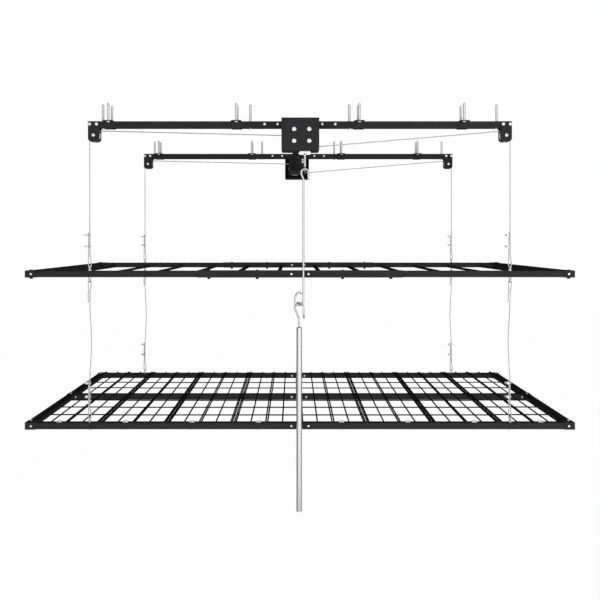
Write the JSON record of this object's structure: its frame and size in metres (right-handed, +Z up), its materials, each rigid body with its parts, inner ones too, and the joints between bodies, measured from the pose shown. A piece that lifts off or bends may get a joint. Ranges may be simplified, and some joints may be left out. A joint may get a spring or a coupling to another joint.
{
  "type": "ceiling mounted pulley rack",
  "caption": "Overhead storage hoist: stacked black steel decks hung on wire ropes from ceiling rails with end pulleys, raised by a worm winch and a hooked hand crank.",
  "frame": {"origin": "middle of the ceiling plane, centred between the ends of the two ceiling rails", "axes": "+X along the rails and the decks' length, to the right seen from the crank side; +Y towards the rear rail; +Z up into the ceiling"},
  "size_m": [2.4384, 1.418, 1.779],
  "materials": {
    "black_coat": "satin black powder coat",
    "black_bolt": "black oxide",
    "zinc": "bright zinc plate",
    "bright_steel": "bright drawn steel",
    "cast_metal": "as cast, grey",
    "bronze": "turned bronze",
    "splice_steel": "plain steel tube",
    "wire_rope": "galvanised stranded wire rope",
    "aluminium": "pressed ferrule",
    "pulley_nylon": "pale nylon",
    "black_plastic": "moulded plug"
  },
  "bodies": {
    "ceiling_frame": {"front_rail": "black_coat", "rear_rail": "black_coat", "rail_splices": "splice_steel", "rail_joint_bolts": "zinc", "saddle_clamps": "black_coat", "lag_screws": "zinc", "pulley_brackets": "black_coat", "bracket_bolts": "zinc", "pulley_axles": "zinc", "axle_spacers": "zinc", "front_winch_box": "black_coat", "rear_winch_box": "black_coat", "gear_case": "cast_metal", "winch_bushes": "bronze", "gear_case_bolts": "zinc", "input_flange": "zinc", "hanger_plates": "black_coat", "hanger_cleats": "black_coat", "hanger_screws": "zinc", "rear_bearing": "cast_metal", "rope_runs": "wire_rope", "rope_drops": "wire_rope"},
    "decks": {"hoist_rope_ends": "wire_rope", "rope_clips": "zinc", "hanging_ropes": "wire_rope", "rope_ferrules": "aluminium", "eyebolts": "zinc", "eye_nuts": "zinc", "upper_long_beams": "black_coat", "upper_beam_sleeves": "black_coat", "frame_screws": "zinc", "sleeve_bolts": "black_bolt", "upper_slats": "black_coat", "lower_long_beams": "black_coat", "lower_beam_splices": "splice_steel", "lower_mid_beam": "black_coat", "tee_brackets": "black_coat", "frame_bolts": "zinc", "side_beams": "black_coat", "corner_brackets": "black_coat", "wire_panels": "black_coat", "clip_screws": "zinc", "panel_clips": "zinc"},
    "winch_drive": {"front_drum": "cast_metal", "rear_drum": "cast_metal", "drum_pins": "zinc", "rope_windings": "wire_rope", "drive_tube": "black_coat", "drum_shafts": "bright_steel", "worm_wheel": "bronze"},
    "worm": {"worm_shaft": "bright_steel"},
    "crank_swivel": {"crank_eye": "bright_steel"},
    "crank_rod": {"extension_rod": "bright_steel"},
    "crank_pole": {"pole_hook": "bright_steel", "pole_tube": "bright_steel", "pole_plug": "black_plastic"},
    "front_left_sheave": {"front_left_pulley": "pulley_nylon"},
    "front_right_sheave": {"front_right_pulley": "pulley_nylon"},
    "rear_left_sheave": {"rear_left_pulley": "pulley_nylon"},
    "rear_right_sheave": {"rear_right_pulley": "pulley_nylon"}
  },
  "joints": [
    {"name": "lift", "type": "slide", "parent": "ceiling_frame", "child": "decks", "axis": [0, 0, 1], "range_m": [-1.26, 0.36], "deforming": ["rope_drops"]},
    {"name": "drum_turn", "type": "hinge", "parent": "ceiling_frame", "child": "winch_drive", "pos_m": [-0.019, 0, -0.091], "axis": [0, 1, 0], "range_deg": [-2520.81, 720.95]},
    {"name": "worm_turn", "type": "hinge", "parent": "ceiling_frame", "child": "worm", "pos_m": [0.021, -0.67, -0.091], "axis": [0, 0, 1], "range_deg": [-50397.29, 14399.94]},
    {"name": "front_left_pulley_turn", "type": "hinge", "parent": "ceiling_frame", "child": "front_left_sheave", "pos_m": [-0.9145, -0.5938, -0.062], "axis": [0, 1, 0], "range_deg": [-3438.75, 983.21]},
    {"name": "front_right_pulley_turn", "type": "hinge", "parent": "ceiling_frame", "child": "front_right_sheave", "pos_m": [0.9145, -0.5938, -0.062], "axis": [0, 1, 0], "range_deg": [-983.21, 3438.75]},
    {"name": "rear_left_pulley_turn", "type": "hinge", "parent": "ceiling_frame", "child": "rear_left_sheave", "pos_m": [-0.9145, 0.5938, -0.062], "axis": [0, 1, 0], "range_deg": [-3438.75, 983.21]},
    {"name": "rear_right_pulley_turn", "type": "hinge", "parent": "ceiling_frame", "child": "rear_right_sheave", "pos_m": [0.9145, 0.5938, -0.062], "axis": [0, 1, 0], "range_deg": [-983.21, 3438.75]},
    {"name": "crank_turn", "type": "hinge", "parent": "ceiling_frame", "child": "crank_swivel", "pos_m": [0.021, -0.67, -0.2], "axis": [0, 0, 1], "range_deg": [-360, 360]},
    {"name": "rod_swing", "type": "hinge", "parent": "crank_swivel", "child": "crank_rod", "pos_m": [0.021, -0.67, -0.2178], "axis": [-1, 0, 0], "range_deg": [-1, 55]},
    {"name": "pole_swing", "type": "hinge", "parent": "crank_rod", "child": "crank_pole", "pos_m": [-0.00388, -0.67866, -0.809], "axis": [-0.9063, -0.4226, 0], "range_deg": [-1, 25]}
  ],
  "couplings": [
    {"joint": "drum_turn", "follows": "lift", "rad_per_m": 34.904},
    {"joint": "worm_turn", "follows": "lift", "rad_per_m": 698.08},
    {"joint": "front_left_pulley_turn", "follows": "lift", "rad_per_m": 47.619},
    {"joint": "front_right_pulley_turn", "follows": "lift", "rad_per_m": -47.619},
    {"joint": "rear_left_pulley_turn", "follows": "lift", "rad_per_m": 47.619},
    {"joint": "rear_right_pulley_turn", "follows": "lift", "rad_per_m": -47.619}
  ]
}
